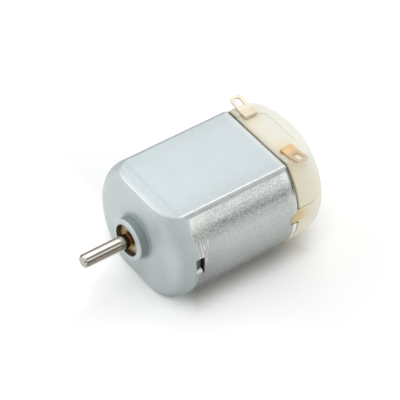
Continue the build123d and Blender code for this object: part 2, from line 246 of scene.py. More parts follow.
def make_surface_group():
    """Fine grain and broad mottling that every finish takes, each in its own size and strength."""
    inputs = (
        ("Vector", "Vector", None),
        ("Colour", "Color", (0.5, 0.5, 0.5, 1.0)),
        ("Shade", "Color", (0.3, 0.3, 0.3, 1.0)),
        ("Mottle Scale", "Float", 400.0),
        ("Mottle", "Float", 0.3),
        ("Grain Scale", "Float", 6000.0),
        ("Grain", "Float", 0.2),
        ("Roughness", "Float", 0.4),
        ("Roughness Spread", "Float", 0.1),
    )
    outputs = (("Colour", "Color"), ("Roughness", "Float"), ("Height", "Float"))
    group, start, end = shader_group("fine_surface", inputs, outputs)
    broad = group.nodes.new("ShaderNodeTexNoise")
    broad.inputs["Detail"].default_value = 3.0
    fine = group.nodes.new("ShaderNodeTexNoise")
    fine.inputs["Detail"].default_value = 2.0
    for node, scale in ((broad, "Mottle Scale"), (fine, "Grain Scale")):
        group.links.new(start.outputs["Vector"], node.inputs["Vector"])
        group.links.new(start.outputs[scale], node.inputs["Scale"])
    patches = rise(group, broad.outputs[0], 0.35, 0.65)
    specks = rise(group, fine.outputs[0], 0.3, 0.7)
    darker = times(group, patches, start.outputs["Mottle"])
    darker = maths(group, "MULTIPLY_ADD", specks, start.outputs["Grain"], darker)
    colour = blend(group, darker, start.outputs["Colour"], start.outputs["Shade"])
    swing = maths(group, "SUBTRACT", specks, 0.5)
    rough = maths(group, "MULTIPLY_ADD", swing, start.outputs["Roughness Spread"], start.outputs["Roughness"])
    group.links.new(colour, end.inputs["Colour"])
    group.links.new(rough, end.inputs["Roughness"])
    group.links.new(specks, end.inputs["Height"])
    return group


fine_surface = make_surface_group()


def new_material(name):
    """Empty material with a Principled BSDF; returns the material, its tree, shader and coordinates."""
    material = bpy.data.materials.new(name)
    material.use_nodes = True
    tree = material.node_tree
    shader = tree.nodes["Principled BSDF"]
    coordinates = tree.nodes.new("ShaderNodeTexCoord").outputs["Object"]
    return material, tree, shader, coordinates


def add_surface(tree, shader, vector, **values):
    """Fine surface group that feeds a shader, with its own values; colours may be sockets."""
    node = tree.nodes.new("ShaderNodeGroup")
    node.node_tree = fine_surface
    tree.links.new(vector, node.inputs["Vector"])
    for key, value in values.items():
        socket = node.inputs[key.replace("_", " ").title()]
        if isinstance(value, (int, float)):
            socket.default_value = value
        elif isinstance(value, tuple):
            socket.default_value = (*value, 1.0)
        else:
            tree.links.new(value, socket)
    tree.links.new(node.outputs["Colour"], shader.inputs["Base Color"])
    tree.links.new(node.outputs["Roughness"], shader.inputs["Roughness"])
    return node


def add_bump(tree, shader, height, distance):
    """Bump that feeds the shader's normal."""
    node = tree.nodes.new("ShaderNodeBump")
    node.inputs["Distance"].default_value = distance
    node.inputs["Strength"].default_value = 1.0
    tree.links.new(height, node.inputs["Height"])
    tree.links.new(node.outputs[0], shader.inputs["Normal"])


def plain_finish(name, colour, shade, metallic, roughness, mottle=0.35):
    """Finish of one colour with grain and mottling."""
    material, tree, shader, coordinates = new_material(name)
    surface = add_surface(
        tree,
        shader,
        coordinates,
        colour=colour,
        shade=shade,
        mottle_scale=350.0,
        mottle=mottle,
        grain_scale=7000.0,
        grain=0.2,
        roughness=roughness,
        roughness_spread=0.12,
    )
    shader.inputs["Metallic"].default_value = metallic
    add_bump(tree, shader, surface.outputs["Height"], distance=0.004 * mm)
    return material


# Colours of the zinc
lower_side_zinc = ((0.515, 0.54, 0.525), (0.61, 0.63, 0.61))
highlit_upper_zinc = ((0.57, 0.595, 0.575), (0.99, 1.0, 0.975))
bottom_shade_zinc = (0.30, 0.32, 0.31)
low_shade_zinc = (0.19, 0.20, 0.195)
fold_highlight_zinc = (0.93, 0.93, 0.90)
bright_patch_zinc = (0.93, 0.96, 0.90)
glint_zinc = (0.98, 0.98, 0.97)
rim_dark_reflection_zinc = (0.20, 0.205, 0.195)
under_edge_dark_reflection_zinc = (0.24, 0.26, 0.255)
satin_zinc = ((0.56, 0.61, 0.62), (0.575, 0.625, 0.635))
flat_side_shade_zinc = (0.36, 0.39, 0.40)
flat_crease_shade_zinc = (0.30, 0.33, 0.34)
flat_edge_highlight_zinc = (0.96, 0.97, 0.97)
dull_zinc_shaded_corner_lit_face = ((0.52, 0.585, 0.58), (0.73, 0.80, 0.795))
dull_shade_zinc = (0.36, 0.41, 0.405)
dull_highlight_zinc = (0.78, 0.85, 0.845)
rim_highlight_zinc = (0.92, 0.93, 0.92)
front_edge_highlight_zinc = (0.88, 0.94, 0.95)
tooth_highlight_zinc = (0.97, 0.97, 0.95)
boss_wall_shade_zinc = (0.20, 0.245, 0.24)
boss_foot_shade_zinc = (0.20, 0.24, 0.24)
tongue_highlight_and_shade_zinc = ((0.96, 0.96, 0.95), (0.36, 0.37, 0.36))
slot_shade = (0.07, 0.07, 0.075)
bore_shade = (0.11, 0.085, 0.055)
mottled_zinc = (0.40, 0.45, 0.46)


def can_places(tree, coordinates):
    """Weights that say where on the can a point is, and the patterns of its zinc."""
    x, y, z = split(tree, coordinates)
    height = maths(tree, "ABSOLUTE", z)
    on_flat = rise(tree, height, can_flat_height - 0.30 * mm, can_flat_height - 0.05 * mm)
    off_flat = rest_of(tree, on_flat)
    wander = noise(tree, coordinates, size=1.1 * mm, detail=3.0)
    ragged_x = maths(tree, "MULTIPLY_ADD", wander, 1.6 * mm, x)
    at_front = rise(tree, ragged_x, -2.5 * mm, -2.0 * mm)
    dull = times(tree, at_front, off_flat)
    drawn_along = stretched(tree, coordinates, (0.10, 1.0, 1.0))
    folded_round = stretched(tree, coordinates, (1.0, 0.09, 0.09))
    return SimpleNamespace(
        x=x,
        y=y,
        z=z,
        height=height,
        radius=across(tree, y, z),
        from_rim=maths(tree, "SUBTRACT", x, can_rim),
        on_flat=on_flat,
        off_flat=off_flat,
        by_flat=rise(tree, z, 3.2 * mm, 5.2 * mm),
        at_front=at_front,
        dull=dull,
        bright_side=rest_of(tree, most(tree, on_flat, dull)),
        crinkled=rise(tree, x, -6.4 * mm, -3.8 * mm),
        streaks=noise(tree, drawn_along, size=0.5 * mm, detail=3.0, roughness=0.6),
        flakes=noise(tree, coordinates, size=0.15 * mm, detail=1.0),
        crinkle=noise(tree, folded_round, size=0.42 * mm),
    )


def round_side_zinc(tree, at):
    """Grained, with a painted highlight in the band by the flat and painted shade towards the bottom and low
    by the dull front; crinkled by the dull front, with painted highlights on the folds, a painted bright
    patch, a painted glint and dark reflection by the rim and a painted dark line under the flat's edge.
    """
    pattern = maths(tree, "MULTIPLY_ADD", at.flakes, 0.6, times(tree, at.streaks, 0.4))
    bright = rise(tree, pattern, 0.32, 0.68)
    lower_side = blend(tree, bright, *lower_side_zinc)
    highlit_upper = blend(tree, bright, *highlit_upper_zinc)
    # Painted highlight: the band by the flat is lighter so that it reads as a bright reflection.
    colour = blend(tree, rise(tree, at.z, 3.9 * mm, 4.7 * mm), lower_side, highlit_upper)
    # Painted shade: the round side darkens towards the bottom, and more so low down by the front.
    colour = blend(tree, fall(tree, at.z, -5.5 * mm, 6.5 * mm, 0.87), colour, bottom_shade_zinc)
    colour = blend(tree, fall(tree, at.z, -5.5 * mm, -3.0 * mm, 0.32), colour, low_shade_zinc)
    behind_front = rise(tree, at.x, -9.0 * mm, -4.0 * mm)
    low_front_shade = times(tree, behind_front, fall(tree, at.z, -1.0 * mm, 7.0 * mm, 0.42))
    colour = blend(tree, low_front_shade, colour, low_shade_zinc)
    # Painted highlights along the crinkle folds.
    folds = fall(tree, apart(tree, at.crinkle, 0.5), 0.01, 0.05, 0.7)
    folds = times(tree, folds, rise(tree, at.z, -0.2 * mm, 2.2 * mm), at.crinkled)
    colour = blend(tree, folds, colour, fold_highlight_zinc)
    # Painted highlight: a bright patch high on the side by the dull front.
    bright_patch = times(tree, at.crinkled, rise(tree, at.z, 4.2 * mm, 5.4 * mm, 0.7))
    colour = blend(tree, bright_patch, colour, bright_patch_zinc)
    # Painted highlight: a white glint on the upper side by the rim.
    glint = times(tree, fall(tree, at.from_rim, 0.9 * mm, 1.8 * mm, 0.9), at.by_flat)
    colour = blend(tree, glint, colour, glint_zinc)
    # Painted dark reflection in a thin band at the rim's edge.
    rim_dark_reflection = times(tree, fall(tree, at.from_rim, 0.38 * mm, 0.55 * mm, 0.9), at.by_flat)
    colour = blend(tree, rim_dark_reflection, colour, rim_dark_reflection_zinc)
    # Painted dark reflection in a thin line just under the flat's edge.
    under_edge_dark_reflection = times(
        tree,
        rise(tree, at.height, can_flat_height - 0.55 * mm, can_flat_height - 0.40 * mm),
        fall(tree, at.height, can_flat_height - 0.22 * mm, can_flat_height - 0.12 * mm, 0.55),
    )
    return blend(tree, under_edge_dark_reflection, colour, under_edge_dark_reflection_zinc)


def flat_zinc(tree, at):
    """Satin, with painted shade darker to both sides, a painted shade line at the soft crease at the front
    and a painted highlight on the near edge.
    """
    colour = blend(tree, at.streaks, *satin_zinc)
    # Painted shade: the flat darkens towards both sides, more towards the near side.
    shade_to_sides = rise(tree, maths(tree, "ABSOLUTE", at.y), 3.5 * mm, 6.4 * mm, 0.14)
    shade_to_sides = maths(tree, "ADD", shade_to_sides, rise(tree, at.y, 0.0, 6.0 * mm, 0.14))
    colour = blend(tree, shade_to_sides, colour, flat_side_shade_zinc)
    # Painted shade: a faint dark line along the crease at the front.
    crease_shade = times(
        tree,
        rise(tree, at.x, -2.7 * mm, -2.2 * mm),
        fall(tree, at.x, -2.2 * mm, -1.7 * mm, 0.16),
    )
    colour = blend(tree, crease_shade, colour, flat_crease_shade_zinc)
    # Painted highlight along the near edge of the flat.
    return blend(tree, rise(tree, at.y, 6.36 * mm, 6.48 * mm, 0.42), colour, flat_edge_highlight_zinc)


def front_zinc(tree, at):
    """Dull, with painted light and shade: lighter on the face, painted shade on the corner and low down; on
    the near shoulder, painted shade on the face and a painted highlight on the corner make it more even.
    """
    front_face = rise(tree, at.x, *front_face_x)
    # Painted light and shade: the face lighter than the corner, darker low down and on the near low corner.
    colour = blend(tree, front_face, *dull_zinc_shaded_corner_lit_face)
    colour = blend(tree, fall(tree, at.z, -6.0 * mm, 0.5 * mm, 0.22), colour, dull_shade_zinc)
    low_corner_shade = times(
        tree,
        rise(tree, at.y, 2.0 * mm, 7.0 * mm),
        fall(tree, at.z, -2.5 * mm, 6.5 * mm, 0.32),
    )
    colour = blend(tree, low_corner_shade, colour, dull_shade_zinc)
    shoulder = times(
        tree,
        rise(tree, at.y, 2.5 * mm, 5.0 * mm),
        rise(tree, at.z, 1.5 * mm, 4.5 * mm),
    )
    # Painted shade on the near shoulder's face and a painted highlight on its corner.
    on_face = times(tree, shoulder, front_face)
    on_corner = maths(tree, "SUBTRACT", shoulder, on_face)
    colour = blend(tree, times(tree, on_face, 0.24), colour, dull_shade_zinc)
    return blend(tree, times(tree, on_corner, 0.30), colour, dull_highlight_zinc)


def lighten_edges(tree, at, colour):
    """Painted highlights: on the rim, on the front edge of the flats and on the rim's tooth below the notch.
    """
    rim_highlight = times(
        tree,
        fall(tree, at.from_rim, 0.2 * mm, 1.2 * mm, 0.3),
        rest_of(tree, times(tree, at.by_flat, at.off_flat)),
    )
    colour = blend(tree, rim_highlight, colour, rim_highlight_zinc)
    front_edge_highlight = times(
        tree,
        rise(tree, at.x, -0.95 * mm, -0.45 * mm, 0.25),
        rise(tree, at.height, can_flat_height - 0.9 * mm, can_flat_height - 0.35 * mm),
    )
    colour = blend(tree, front_edge_highlight, colour, front_edge_highlight_zinc)
    tooth_highlight = times(
        tree,
        fall(tree, at.from_rim, 0.45 * mm, 0.9 * mm, 0.85),
        fall(tree, at.z, -0.6 * mm, 0.0),
        at.off_flat,
    )
    return blend(tree, tooth_highlight, colour, tooth_highlight_zinc)


def darken_boss(tree, at, colour):
    """Painted shade on the round wall of the boss and at its foot."""
    on_boss = rise(tree, at.x, 0.0, 0.15 * mm)
    wall = times(tree, on_boss, fall(tree, at.x, 1.25 * mm, 1.5 * mm), 0.85)
    colour = blend(tree, wall, colour, boss_wall_shade_zinc)
    foot = times(tree, fall(tree, at.radius, 3.2 * mm, 3.7 * mm), at.at_front, rest_of(tree, on_boss), 0.5)
    return blend(tree, foot, colour, boss_foot_shade_zinc)


def darken_openings(tree, at, colour):
    """Painted highlight on the bend of the tongue pressed into the slot with painted shade on its plate, and
    painted shade in the slot and in the boss's bore.
    """
    at_slot = times(
        tree,
        rise(tree, at.x, slot_rear - slot_edge, slot_rear),
        fall(tree, at.x, slot_front, slot_front + slot_edge),
        fall(tree, at.height, 2.2 * mm, 2.6 * mm),
    )
    # Painted highlight low on the tongue's bend, painted shade on its plate above.
    tongue_light_and_shade = blend(tree, rise(tree, at.z, -0.75 * mm, -0.2 * mm), *tongue_highlight_and_shade_zinc)
    pressed = times(tree, at_slot, fall(tree, at.radius, can_round - 0.10 * mm, can_round - 0.05 * mm))
    colour = blend(tree, pressed, colour, tongue_light_and_shade)
    # Painted shade on the sunk tongue and the cut walls inside the slot.
    sunk = times(tree, at_slot, fall(tree, at.radius, can_round - 0.55 * mm, can_round - 0.40 * mm))
    colour = blend(tree, sunk, colour, slot_shade)
    # Painted shade inside the boss's bore.
    return blend(tree, fall(tree, at.radius, 2.36 * mm, 2.42 * mm), colour, bore_shade)


def make_zinc():
    """Zinc on drawn steel: bright and grained on the round sides, satin on the flats, dull at the front."""
    material, tree, shader, coordinates = new_material("zinc_plate")
    at = can_places(tree, coordinates)
    colour = blend(tree, at.on_flat, round_side_zinc(tree, at), flat_zinc(tree, at))
    colour = blend(tree, at.dull, colour, front_zinc(tree, at))
    colour = lighten_edges(tree, at, colour)
    colour = darken_boss(tree, at, colour)
    colour = darken_openings(tree, at, colour)
    surface = add_surface(
        tree,
        shader,
        coordinates,
        colour=colour,
        shade=mottled_zinc,
        mottle_scale=320.0,
        mottle=0.08,
        grain_scale=5200.0,
        grain=0.08,
        roughness=0.40,
        roughness_spread=0.12,
    )
    rough = maths(tree, "MULTIPLY_ADD", at.bright_side, -0.14, surface.outputs["Roughness"])
    rough = maths(tree, "MULTIPLY_ADD", at.dull, 0.12, rough)
    tree.links.new(rough, shader.inputs["Roughness"])
    metal = maths(tree, "MULTIPLY_ADD", at.dull, -0.5, 1.0)
    tree.links.new(metal, shader.inputs["Metallic"])
    flake_height = ramp(tree, at.z, 4.0 * mm, 5.6 * mm, 0.55, 1.5)
    relief = times(tree, at.flakes, at.bright_side, flake_height)
    relief = maths(tree, "MULTIPLY_ADD", surface.outputs["Height"], 0.25, relief)
    folds = times(tree, at.crinkle, at.crinkled, at.bright_side)
    relief = maths(tree, "MULTIPLY_ADD", folds, 2.5, relief)
    add_bump(tree, shader, relief, distance=0.013 * mm)
    return material


# Colours of the nylon
cream_nylon = (0.89, 0.87, 0.78)
amber_shade_nylon = (0.91, 0.80, 0.55)
top_shade_nylon = (0.76, 0.785, 0.76)
terminal_shade_nylon = (0.92, 0.77, 0.49)
lug_nose_shade_nylon = (0.86, 0.59, 0.28)
lug_crease_shade_nylon = (0.50, 0.43, 0.28)
lug_edge_highlight_nylon = (0.99, 0.98, 0.90)
rim_shade_nylon = (0.58, 0.50, 0.36)
rim_gap_shade_nylon = (0.16, 0.14, 0.10)
mottled_nylon = (0.92, 0.88, 0.74)
no_light = (0.0, 0.0, 0.0)
hole_glow = (0.27, 0.215, 0.15)


def body_nylon(tree, at):
    """Cream, with painted warm shade: amber by the rim and on the round sides, a cooler painted shade on top
    and a warm painted shade by the terminals.
    """
    # Painted warm shade, amber in patches by the rim and on the round sides.
    amber_shade = times(
        tree,
        rise(tree, at.x, can_rim - 3.2 * mm, can_rim - 0.2 * mm),
        ramp(tree, at.patch, 0.25, 0.75, 0.5, 1.0),
    )
    amber_shade = most(tree, amber_shade, rise(tree, at.reach, 6.5 * mm, 9.0 * mm, 0.42))
    colour = blend(tree, amber_shade, cream_nylon, amber_shade_nylon)
    # Painted shade: the top is a little darker and cooler.
    colour = blend(tree, rise(tree, at.z, 6.6 * mm, 7.2 * mm, 0.35), colour, top_shade_nylon)
    # Painted warm shade beside each terminal.
    by_terminal = times(
        tree,
        fall(tree, apart(tree, at.x, terminal_x), 0.8 * mm, 2.0 * mm),
        fall(tree, apart(tree, at.reach, terminal_leg), 0.3 * mm, 2.4 * mm, 0.8),
    )
    return blend(tree, by_terminal, colour, terminal_shade_nylon)


def mark_lugs(tree, at, colour):
    """Painted light on the lugs: amber painted shade on the nose in the rim's notch, painted shade in the
    crease above each lug, and a painted highlight on the upper edge.
    """
    on_face = rise(tree, at.reach, *lug_face)
    # Painted warm shade on the lug's nose in the notch.
    nose = times(
        tree,
        fall(tree, apart(tree, at.z, lug_height), 0.5 * mm, 1.4 * mm),
        rise(tree, at.x, can_rim - 2.4 * mm, can_rim + 0.2 * mm),
        on_face,
    )
    colour = blend(tree, nose, colour, lug_nose_shade_nylon)
    # Painted shade in the crease above the lug.
    crease_shade = times(
        tree,
        fall(tree, apart(tree, at.z, lug_top), 0.0, 0.18 * mm, 0.6),
        at.below_lug,
        rise(tree, at.reach, 7.5 * mm, 9.0 * mm),
        rise(tree, at.x, can_rim - 4.6 * mm, can_rim - 1.4 * mm),
    )
    colour = blend(tree, crease_shade, colour, lug_crease_shade_nylon)
    # Painted highlight along the lug's upper edge.
    edge = times(
        tree,
        fall(tree, apart(tree, at.z, lug_top - 0.3 * mm), 0.05 * mm, 0.4 * mm, 0.7),
        fall(tree, at.x, can_rim - 3.4 * mm, can_rim - 1.6 * mm),
        on_face,
    )
    return blend(tree, edge, colour, lug_edge_highlight_nylon)


def darken_rim_line(tree, at, colour):
    """Painted shade: a dark line in the open gap behind the can's rim, with a soft painted shade behind it on
    top.
    """
    shade = times(
        tree,
        rise(tree, at.x, can_rim - 1.4 * mm, can_rim - 0.3 * mm, 0.40),
        rise(tree, at.z, 6.0 * mm, 7.0 * mm),
    )
    colour = blend(tree, shade, colour, rim_shade_nylon)
    # Painted shade in the open gap behind the rim.
    line = times(tree, rise(tree, at.x, can_rim - 0.44 * mm, can_rim - 0.26 * mm, 0.52), at.below_lug)
    return blend(tree, line, colour, rim_gap_shade_nylon)


def light_below_holes(tree, at):
    """Painted light: a glowing spot below each terminal's wire hole, where light through the hole falls."""
    from_spot = across(
        tree,
        maths(tree, "SUBTRACT", at.x, hole_spot_x),
        maths(tree, "SUBTRACT", at.reach, hole_spot_reach),
    )
    spot = times(tree, fall(tree, from_spot, 0.35 * mm, 0.95 * mm), rise(tree, at.z, 7.0 * mm, 7.4 * mm))
    return blend(tree, spot, no_light, hole_glow)


def make_nylon():
    """Cream nylon that lets light through."""
    material, tree, shader, coordinates = new_material("cream_nylon")
    x, y, z = split(tree, coordinates)
    at = SimpleNamespace(
        x=x,
        z=z,
        reach=maths(tree, "ABSOLUTE", y),
        below_lug=fall(tree, across(tree, y, z), can_round - 0.12 * mm, can_round - 0.06 * mm),
        patch=noise(tree, coordinates, size=2.2 * mm),
    )
    colour = body_nylon(tree, at)
    colour = mark_lugs(tree, at, colour)
    colour = darken_rim_line(tree, at, colour)
    surface = add_surface(
        tree,
        shader,
        coordinates,
        colour=colour,
        shade=mottled_nylon,
        mottle_scale=260.0,
        mottle=0.25,
        grain_scale=5000.0,
        grain=0.06,
        roughness=0.42,
        roughness_spread=0.10,
    )
    # Painted light: the spots below the wire holes glow.
    tree.links.new(light_below_holes(tree, at), shader.inputs["Emission Color"])
    shader.inputs["Emission Strength"].default_value = 1.0
    shader.inputs["Subsurface Weight"].default_value = 0.8
    shader.inputs["Subsurface Radius"].default_value = (1.0, 0.8, 0.5)
    shader.inputs["Subsurface Scale"].default_value = 1.6 * mm
    add_bump(tree, shader, surface.outputs["Height"], distance=0.003 * mm)
    return material


# Colours of the terminals' strip
bare_strip = (0.79, 0.54, 0.285)
bare_strip_shade = (0.69, 0.42, 0.20)
tinned_strip = (0.75, 0.605, 0.42)
tinned_strip_shade = (0.66, 0.52, 0.35)
washed_out_strip = (0.80, 0.735, 0.61)
washed_out_strip_shade = (0.76, 0.685, 0.56)


def make_terminal_strip():
    """Copper strip, bare at the bend and dipped in solder tin towards the wire hole; the far one is paler,
    painted light.
    """
    material, tree, shader, coordinates = new_material("tinned_copper_strip")
    y = split(tree, coordinates)["Y"]
    wander = noise(tree, coordinates, size=0.5 * mm)
    reach = maths(tree, "MULTIPLY_ADD", wander, 0.5 * mm, maths(tree, "ABSOLUTE", y))
    tinned = rise(tree, reach, 5.1 * mm, 6.0 * mm)
    # Painted light: the far terminal is paler, as if washed out by light.
    far_washed_out = fall(tree, y, -2.0 * mm, 2.0 * mm, 0.85)
    surface = add_surface(
        tree,
        shader,
        coordinates,
        colour=blend(tree, far_washed_out, blend(tree, tinned, bare_strip, tinned_strip), washed_out_strip),
        shade=blend(tree, far_washed_out, blend(tree, tinned, bare_strip_shade, tinned_strip_shade), washed_out_strip_shade),
        mottle_scale=700.0,
        mottle=0.4,
        grain_scale=7000.0,
        grain=0.2,
        roughness=0.42,
        roughness_spread=0.12,
    )
    shader.inputs["Metallic"].default_value = 0.6
    add_bump(tree, shader, surface.outputs["Height"], distance=0.004 * mm)
    return material


# Colours of the shaft's steel
ground_steel = (0.68, 0.65, 0.59)
dark_reflection_steel = (0.23, 0.185, 0.14)
bush_reflection_steel = (0.40, 0.205, 0.12)
cut_steel = (0.50, 0.48, 0.45)
mottled_steel = (0.38, 0.33, 0.27)


def make_shaft_steel():
    """Ground steel with fine rings, painted dark reflections along two sides, a painted brown reflection and
    shade by the bush, and a paler cut end.
    """
    material, tree, shader, coordinates = new_material("ground_steel")
    x, y, z = split(tree, coordinates)
    rings = noise(tree, stretched(tree, coordinates, (1.0, 0.02, 0.02)), size=0.05 * mm)
    # Painted dark reflections in streaks along the near and far sides.
    near_dark_reflection = times(tree, rise(tree, y, 0.70 * mm, 0.92 * mm), rise(tree, z, -0.20 * mm, 0.0))
    far_dark_reflection = times(tree, fall(tree, y, -0.40 * mm, -0.12 * mm), rise(tree, z, 0.25 * mm, 0.60 * mm))
    dark_reflection = times(tree, most(tree, near_dark_reflection, far_dark_reflection), 0.95)
    colour = blend(tree, dark_reflection, ground_steel, dark_reflection_steel)
    # Painted brown reflection and shade where the shaft enters the bush.
    colour = blend(tree, fall(tree, x, 1.7 * mm, 2.9 * mm, 0.9), colour, bush_reflection_steel)
    cut_end = rise(tree, x, shaft_end - 0.10 * mm, shaft_end - 0.02 * mm)
    add_surface(
        tree,
        shader,
        coordinates,
        colour=blend(tree, cut_end, colour, cut_steel),
        shade=mottled_steel,
        mottle_scale=500.0,
        mottle=0.25,
        grain_scale=9000.0,
        grain=0.08,
        roughness=0.09,
        roughness_spread=0.04,
    )
    shader.inputs["Metallic"].default_value = 1.0
    add_bump(tree, shader, rings, distance=0.0006 * mm)
    return material


# Finishes, each with its colour, its shade, how metallic and how rough it is
finishes = {
    "zinc": make_zinc(),
    "nylon": make_nylon(),
    "steel": make_shaft_steel(),
    "bronze": plain_finish("sintered_bronze", (0.64, 0.50, 0.27), (0.34, 0.23, 0.11), 0.9, 0.38, mottle=0.6),
    "strip": make_terminal_strip(),
    "spring": plain_finish("spring_strip", (0.80, 0.62, 0.38), (0.62, 0.45, 0.26), 1.0, 0.30),
    "ferrite": plain_finish("fired_ferrite", (0.10, 0.10, 0.105), (0.05, 0.05, 0.055), 0.0, 0.62),
    "wire": plain_finish("drawn_wire", (0.52, 0.53, 0.54), (0.36, 0.37, 0.38), 1.0, 0.30),
    "sheet": plain_finish("punched_sheet", (0.40, 0.41, 0.43), (0.26, 0.26, 0.28), 0.9, 0.40),
    "fibre": plain_finish("green_fibre", (0.24, 0.36, 0.28), (0.16, 0.26, 0.20), 0.0, 0.60),
    "enamel": plain_finish("enamelled_wire", (0.62, 0.25, 0.11), (0.44, 0.15, 0.06), 0.6, 0.30),
    "phenolic": plain_finish("brown_phenolic", (0.20, 0.11, 0.07), (0.12, 0.06, 0.04), 0.0, 0.45),
    "segment": plain_finish("turned_copper", (0.76, 0.44, 0.27), (0.58, 0.32, 0.18), 1.0, 0.28),
    "band": plain_finish("pale_fibre", (0.78, 0.75, 0.66), (0.66, 0.62, 0.52), 0.0, 0.60),
    "washer": plain_finish("dark_fibre", (0.10, 0.095, 0.09), (0.06, 0.055, 0.05), 0.0, 0.62),
}
worn_by = {
    "can": "zinc",
    "front_bush": "bronze",
    "end_cap": "nylon",
    "rear_bush": "bronze",
    "magnet_near": "ferrite",
    "magnet_far": "ferrite",
    "magnet_clip": "wire",
    "terminal_near": "strip",
    "terminal_far": "strip",
    "brush_near": "spring",
    "brush_far": "spring",
    "shaft": "steel",
    "laminations": "sheet",
    "insulator_front": "fibre",
    "insulator_rear": "fibre",
    "coil_1": "enamel",
    "coil_2": "enamel",
    "coil_3": "enamel",
    "commutator_sleeve": "phenolic",
    "commutator_segment_1": "segment",
    "commutator_segment_2": "segment",
    "commutator_segment_3": "segment",
    "commutator_ring": "band",
    "spacer": "phenolic",
    "thrust_washer_front": "washer",
    "thrust_washer_rear": "washer",
}
for node_name, finish in worn_by.items():
    mesh = nodes[node_name].data
    mesh.materials.clear()
    mesh.materials.append(finishes[finish])


def winding_tree():
    """Geometry nodes that wind one wire round an upright core: layer on layer, up and down in turn."""
    tree = bpy.data.node_groups.new("coil_winding", "GeometryNodeTree")
    tree.interface.new_socket("Geometry", in_out="OUTPUT", socket_type="NodeSocketGeometry")
    for name in ("Turns", "Turns Per Layer", "Core Length", "Core Width", "Corner", "Low", "High", "Wire"):
        tree.interface.new_socket(name, in_out="INPUT", socket_type="NodeSocketFloat")
    tree.interface.new_socket("Points Per Turn", in_out="INPUT", socket_type="NodeSocketInt")
    tree.interface.new_socket("Material", in_out="INPUT", socket_type="NodeSocketMaterial")
    sizes = tree.nodes.new("NodeGroupInput").outputs

    def add(kind, links=(), **settings):
        node = tree.nodes.new(kind)
        for key, value in settings.items():
            setattr(node, key, value)
        for socket, source in links:
            tree.links.new(source, node.inputs[socket])
        return node

    core = add(
        "GeometryNodeCurvePrimitiveQuadrilateral",
        (("Width", sizes["Core Length"]), ("Height", sizes["Core Width"])),
    )
    core = add(
        "GeometryNodeFilletCurve",
        (("Curve", core.outputs[0]), ("Radius", sizes["Corner"])),
        mode="POLY",
    )
    core.inputs["Count"].default_value = coil_corner_points
    points = times(tree, sizes["Turns"], sizes["Points Per Turn"])
    line = add("GeometryNodeMeshLine", (("Count", points),))
    wire = add("GeometryNodeMeshToCurve", (("Mesh", line.outputs[0]),))
    turn = maths(tree, "DIVIDE", add("GeometryNodeInputIndex").outputs[0], sizes["Points Per Turn"])
    layers = maths(tree, "DIVIDE", turn, sizes["Turns Per Layer"])
    place = add(
        "GeometryNodeSampleCurve",
        (("Curves", core.outputs[0]), ("Factor", maths(tree, "FRACT", turn))),
        mode="FACTOR",
        use_all_curves=True,
    )
    ahead = split(tree, place.outputs["Tangent"])
    on_core = split(tree, place.outputs["Position"])
    out = maths(tree, "MULTIPLY_ADD", maths(tree, "FLOOR", layers), 2.0, 1.0)
    out = times(tree, out, sizes["Wire"])
    bottom = maths(tree, "ADD", sizes["Low"], sizes["Wire"])
    top = maths(tree, "SUBTRACT", sizes["High"], sizes["Wire"])
    climb = maths(tree, "PINGPONG", layers, 1.0)
    level = maths(tree, "MULTIPLY_ADD", climb, maths(tree, "SUBTRACT", top, bottom), bottom)
    spot = add("ShaderNodeCombineXYZ")
    tree.links.new(maths(tree, "MULTIPLY_ADD", ahead["Y"], out, on_core["X"]), spot.inputs["X"])
    tree.links.new(maths(tree, "SUBTRACT", on_core["Y"], times(tree, ahead["X"], out)), spot.inputs["Y"])
    tree.links.new(level, spot.inputs["Z"])
    wire = add("GeometryNodeSetPosition", (("Geometry", wire.outputs[0]), ("Position", spot.outputs[0])))
    section = add("GeometryNodeCurvePrimitiveCircle", (("Radius", sizes["Wire"]),))
    section.inputs["Resolution"].default_value = wire_sides
    wire = add(
        "GeometryNodeCurveToMesh",
        (("Curve", wire.outputs[0]), ("Profile Curve", section.outputs[0])),
    )
    wire.inputs["Fill Caps"].default_value = True
    wire = add("GeometryNodeRealizeInstances", (("Geometry", wire.outputs[0]),))
    wire = add(
        "GeometryNodeSetMaterial",
        (("Geometry", wire.outputs[0]), ("Material", sizes["Material"])),
    )
    tree.links.new(wire.outputs[0], tree.nodes.new("NodeGroupOutput").inputs[0])
    return tree


def wind_coils():
    """Three coils of enamelled wire, one round each arm of the rotor, in the room of their CAD rings."""
    tree = winding_tree()
    low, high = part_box("coil_1")
    build = high.y - coil_half_inside
    values = {
        "Turns": coil_layers * coil_turns_per_layer,
        "Turns Per Layer": coil_turns_per_layer,
        "Core Length": high.x - low.x - 2 * build,
        "Core Width": 2 * coil_half_inside,
        "Corner": coil_corner,
        "Low": low.z,
        "High": high.z,
        "Wire": build / coil_layers / 2,
        "Points Per Turn": coil_points_per_turn,
        "Material": finishes["enamel"],
    }
    for number in (1, 2, 3):
        node_name = f"coil_{number}"
        low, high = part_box(node_name)
        middle = (low + high) / 2
        holder = bpy.data.objects.new(f"winding_{number}", bpy.data.meshes.new(f"winding_{number}"))
        bpy.context.scene.collection.objects.link(holder)
        modifier = holder.modifiers.new("winding", "NODES")
        modifier.node_group = tree
        for socket in tree.interface.items_tree:
            if socket.in_out == "INPUT":
                modifier[socket.identifier] = values[socket.name]
        evaluated = holder.evaluated_get(bpy.context.evaluated_depsgraph_get())
        mesh = bpy.data.meshes.new_from_object(evaluated)
        holder.modifiers.remove(modifier)
        mesh.transform(Matrix.Rotation(atan2(-middle.y, middle.z), 4, "X"))
        mesh.transform(Matrix.Translation((middle.x, 0.0, 0.0)))
        mesh.name = f"winding_{number}"
        holder.data = mesh
        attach(holder, "rotor")
        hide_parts(node_name)


